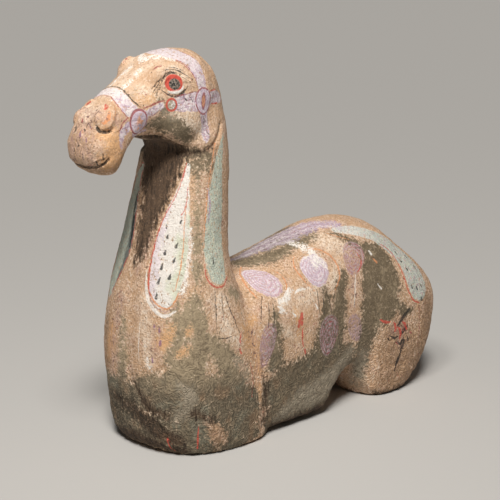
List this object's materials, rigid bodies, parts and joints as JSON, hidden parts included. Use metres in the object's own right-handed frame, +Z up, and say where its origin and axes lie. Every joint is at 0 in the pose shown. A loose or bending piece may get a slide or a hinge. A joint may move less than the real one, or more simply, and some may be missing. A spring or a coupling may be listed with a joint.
{
  "type": "pottery horse figure",
  "caption": "Hand-modelled pottery horse torso with an upright neck and a lowered head, standing on a broad front block and two hind stubs, its legs lost.",
  "frame": {"origin": "middle of the figure's box at the level of its feet", "axes": "the horse faces -Y, +X is its left side, +Z is up"},
  "size_m": [0.1942, 0.6216, 0.517],
  "materials": {
    "painted_pottery": null
  },
  "bodies": {
    "root": {"horse_figure": "painted_pottery"}
  },
  "joints": []
}
